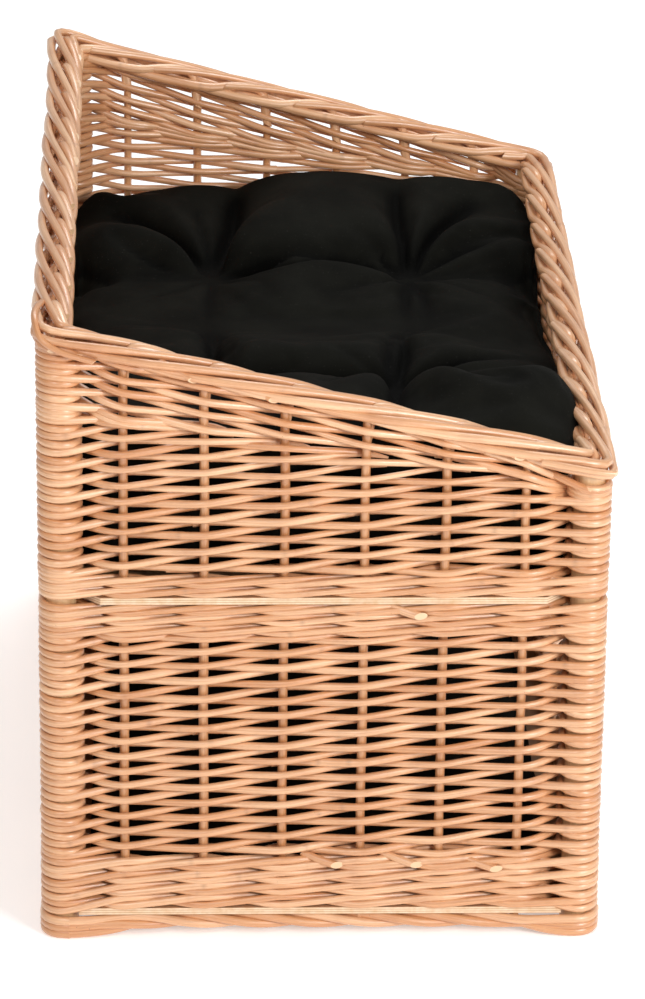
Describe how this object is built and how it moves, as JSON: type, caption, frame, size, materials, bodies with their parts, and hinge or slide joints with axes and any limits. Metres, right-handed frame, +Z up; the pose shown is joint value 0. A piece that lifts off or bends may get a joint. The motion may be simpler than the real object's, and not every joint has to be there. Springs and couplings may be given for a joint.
{
  "type": "wicker pet bed basket",
  "caption": "Two-storey willow pet bed: a tufted cushion on a shelf inside a sloping plaited rim, over a cave with an arched entrance in the low front wall.",
  "frame": {"origin": "middle of the footprint, on the floor", "axes": "+Z up, +X towards the low front with the entrance, +Y along the long side"},
  "size_m": [0.459, 0.729, 0.537],
  "materials": {
    "willow": "peeled buff willow rods, satin, with small knots and lighter worn stretches",
    "stake_willow": "thicker peeled willow uprights, satin",
    "post_wood": "pale round stick with fine length-wise ridges",
    "plywood": "thin birch plywood, plies showing at the sawn edge",
    "black_cotton": "matt black woven cotton, soft and creased at the tufts",
    "black_thread": "black twisted thread"
  },
  "bodies": {
    "basket": {"post_back_near": "post_wood", "post_back_far": "post_wood", "post_front_near": "post_wood", "post_front_far": "post_wood", "base_board": "plywood", "shelf_board": "plywood", "stakes_near": "stake_willow", "stakes_far": "stake_willow", "stakes_back": "stake_willow", "stakes_front": "stake_willow", "base_wale_near": "willow", "base_wale_far": "willow", "base_wale_back": "willow", "base_wale_front": "willow", "lower_weave_near": "willow", "lower_weave_far": "willow", "lower_weave_back": "willow", "lower_weave_front_near": "willow", "lower_weave_front_far": "willow", "lower_weave_front_head": "willow", "under_shelf_wale_near": "willow", "under_shelf_wale_far": "willow", "under_shelf_wale_back": "willow", "under_shelf_wale_front": "willow", "over_shelf_wale_near": "willow", "over_shelf_wale_far": "willow", "over_shelf_wale_back": "willow", "over_shelf_wale_front": "willow", "upper_weave_near": "willow", "upper_weave_far": "willow", "upper_weave_back": "willow", "upper_weave_front": "willow", "top_border_near": "willow", "top_border_far": "willow", "top_border_back": "willow", "top_border_front": "willow", "foot_border_near": "willow", "foot_border_far": "willow", "foot_border_back": "willow", "foot_border_front": "willow", "lower_wrap_back_near": "willow", "lower_wrap_back_far": "willow", "lower_wrap_front_near": "willow", "lower_wrap_front_far": "willow", "upper_wrap_back_near": "willow", "upper_wrap_back_far": "willow", "upper_wrap_front_near": "willow", "upper_wrap_front_far": "willow", "foot_wraps": "willow", "entrance_hoop": "post_wood", "cave_cushion": "black_cotton"},
    "cushion": {"bed_cushion": "black_cotton", "bed_cushion_ties": "black_thread"}
  },
  "joints": [
    {"name": "cushion_lift", "type": "slide", "parent": "basket", "child": "cushion", "axis": [0, 0, 1], "range_m": [0, 0.3]}
  ]
}
